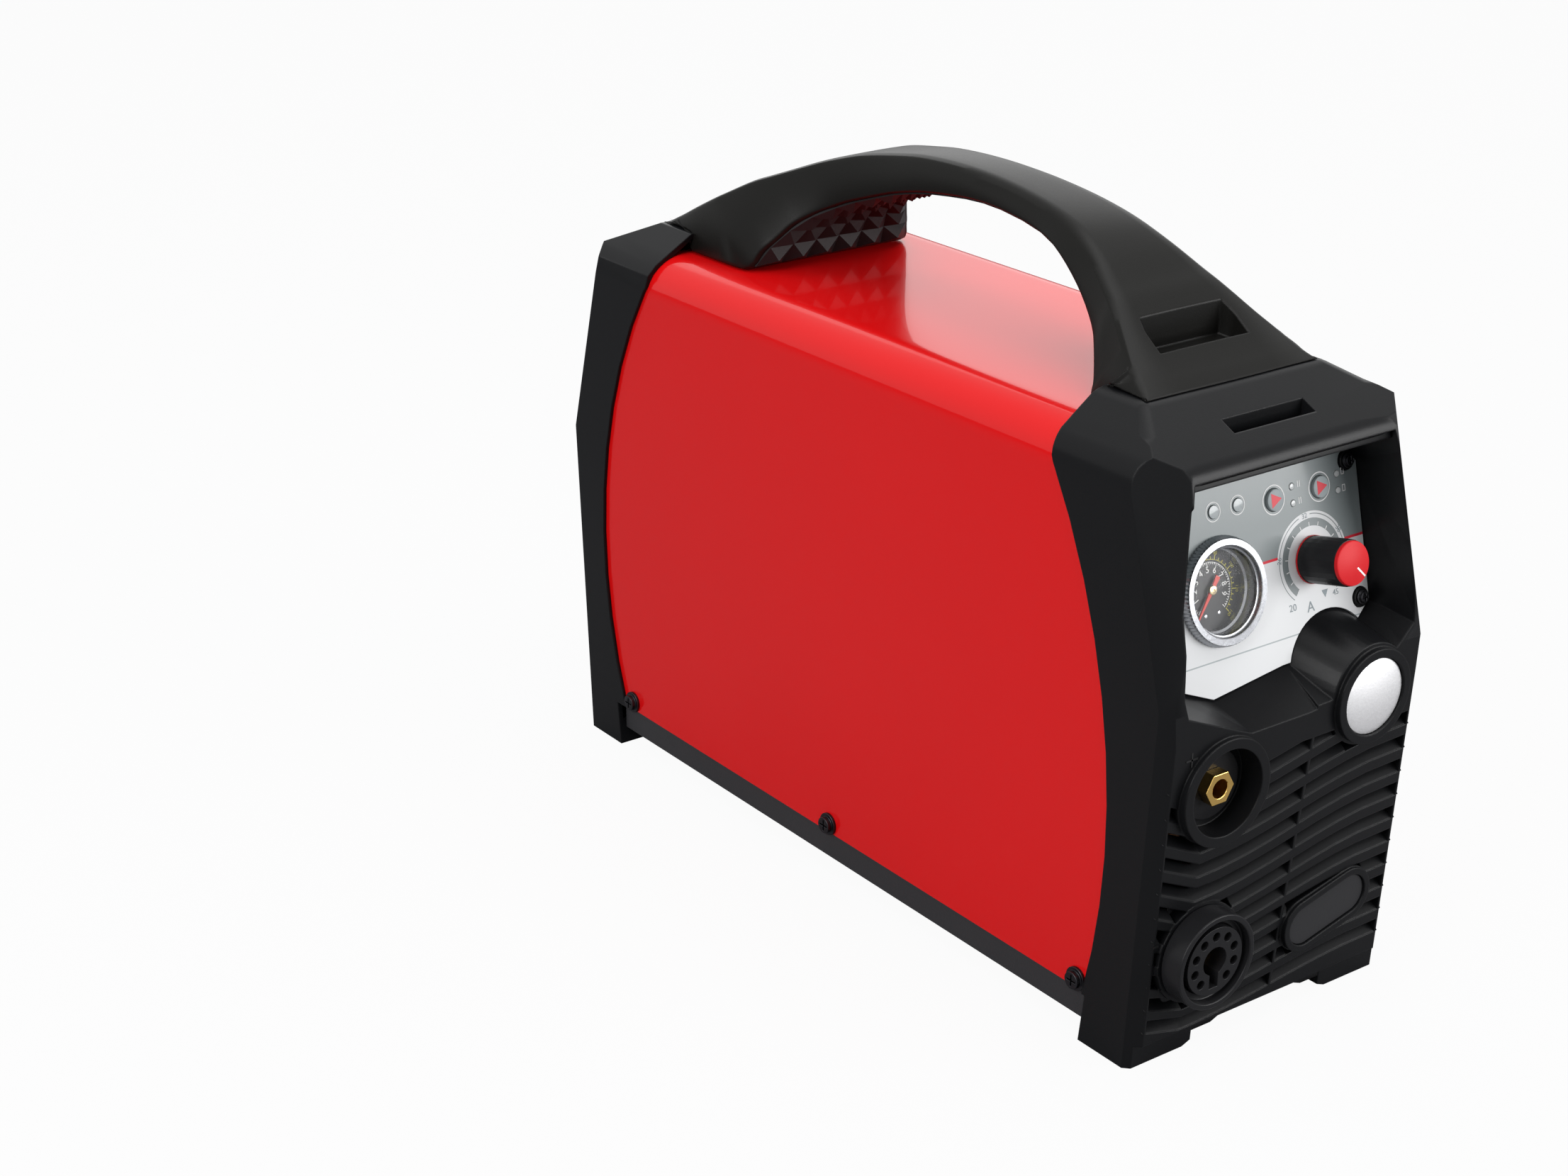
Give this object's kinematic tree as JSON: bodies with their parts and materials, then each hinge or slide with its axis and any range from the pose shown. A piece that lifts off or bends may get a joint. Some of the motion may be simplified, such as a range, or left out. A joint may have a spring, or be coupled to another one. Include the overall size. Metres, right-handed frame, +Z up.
{
  "type": "plasma cutter power source",
  "caption": "Portable plasma cutter power source: red steel wrap, black end bezels, arched carrying handle, control recess with gauge and knob, earth and torch sockets, louvred front.",
  "frame": {"origin": "on the ground under the middle of the case", "axes": "+Z up, the front with the control panel faces -Y, +X is to the right when looking at the front"},
  "size_m": [0.168, 0.492, 0.3675],
  "materials": {
    "bezel_black": "fine-grained satin moulding",
    "handle_black": "satin moulding",
    "grip_black": "soft grip with raised facets",
    "red_paint": "smooth gloss paint",
    "black_paint": "satin black paint",
    "zinc": "bright zinc plate",
    "black_screw": "black oxide",
    "panel_print": "printed foil: grey above, white below, red line",
    "chrome": "polished",
    "dial_black": "printed dial",
    "clear": "clear",
    "needle_red": "satin paint",
    "knob_black": "fluted moulding",
    "cap_red": "gloss with a pale pointer",
    "steel": "plain",
    "button_grey": "satin with a red mark",
    "lamp_clear": "milky clear",
    "board_green": "solder mask",
    "badge_silver": "satin dome",
    "socket_black": "satin moulding",
    "brass": "machined",
    "rotor_grey": "moulded",
    "rocker_red": "moulded",
    "cast_body": "die cast",
    "valve_blue": "moulded coil",
    "hose_blue": "polyurethane hose",
    "sink_alu": "extruded",
    "module_black": "moulded",
    "copper": "bare copper",
    "cap_blue": "shrink sleeve",
    "relay_cream": "moulded"
  },
  "bodies": {
    "chassis": {"base_tray": "black_paint", "cover": "red_paint", "front_bezel": "bezel_black", "rear_bezel": "bezel_black", "handle": "handle_black", "handle_grip": "grip_black", "control_panel": "panel_print", "panel_screws": "black_screw", "gauge_case": "chrome", "gauge_dial": "dial_black", "gauge_lens": "clear", "gauge_bracket": "zinc", "potentiometer": "steel", "lamp_lenses": "lamp_clear", "mode_leds": "lamp_clear", "control_board": "board_green", "badge_disc": "badge_silver", "blanking_plate": "bezel_black", "earth_socket": "socket_black", "earth_contact": "brass", "earth_nuts": "zinc", "torch_socket": "socket_black", "torch_insulator": "socket_black", "torch_contacts": "brass", "torch_nut": "socket_black", "cover_screws": "black_screw", "bezel_screws": "zinc", "handle_screws": "zinc", "rear_panel": "black_paint", "rear_panel_screws": "black_screw", "fan_frame": "socket_black", "fan_guard": "zinc", "fan_screws": "black_screw", "mains_switch": "socket_black", "cable_gland": "socket_black", "gland_nut": "socket_black", "air_inlet": "brass", "regulator_body": "cast_body", "solenoid_valve": "valve_blue", "air_hose": "hose_blue", "main_board": "board_green", "heat_sinks": "sink_alu", "power_modules": "module_black", "transformer": "copper", "pfc_choke": "copper", "capacitors": "cap_blue", "pilot_relay": "relay_cream", "output_busbar": "copper"},
    "needle": {"gauge_needle": "needle_red"},
    "knob": {"current_knob": "knob_black", "knob_cap": "cap_red", "knob_spindle": "steel"},
    "mode_key": {"mode_button": "button_grey"},
    "air_key": {"air_button": "button_grey"},
    "rotor": {"fan_rotor": "rotor_grey"},
    "rocker": {"switch_rocker": "rocker_red"},
    "stem": {"regulator_stem": "brass"},
    "pull_knob": {"regulator_knob": "knob_black"}
  },
  "joints": [
    {"name": "needle_sweep", "type": "hinge", "parent": "chassis", "child": "needle", "pos_m": [-0.023, -0.20809, 0.21574], "axis": [0, 0.972, -0.2351], "range_deg": [0, 260]},
    {"name": "current_turn", "type": "hinge", "parent": "chassis", "child": "knob", "pos_m": [0.035, -0.20774, 0.2172], "axis": [0, 0.972, -0.2351], "range_deg": [-280, 0]},
    {"name": "mode_press", "type": "slide", "parent": "chassis", "child": "mode_key", "axis": [0, 0.972, -0.2351], "range_m": [0, 0.001], "stiffness_N_per_m": 800},
    {"name": "air_press", "type": "slide", "parent": "chassis", "child": "air_key", "axis": [0, 0.972, -0.2351], "range_m": [0, 0.001], "stiffness_N_per_m": 800},
    {"name": "fan_spin", "type": "hinge", "parent": "chassis", "child": "rotor", "pos_m": [0, 0.2, 0.102], "axis": [0, 1, 0], "continuous": true},
    {"name": "power_rock", "type": "hinge", "parent": "chassis", "child": "rocker", "pos_m": [-0.034, 0.212, 0.194], "axis": [0, 0, 1], "range_deg": [-18, 0]},
    {"name": "pressure_turn", "type": "hinge", "parent": "chassis", "child": "stem", "pos_m": [0.032, 0.213, 0.234], "axis": [0, 1, 0], "range_deg": [0, 720]},
    {"name": "knob_pull", "type": "slide", "parent": "stem", "child": "pull_knob", "axis": [0, 1, 0], "range_m": [0, 0.003]}
  ]
}
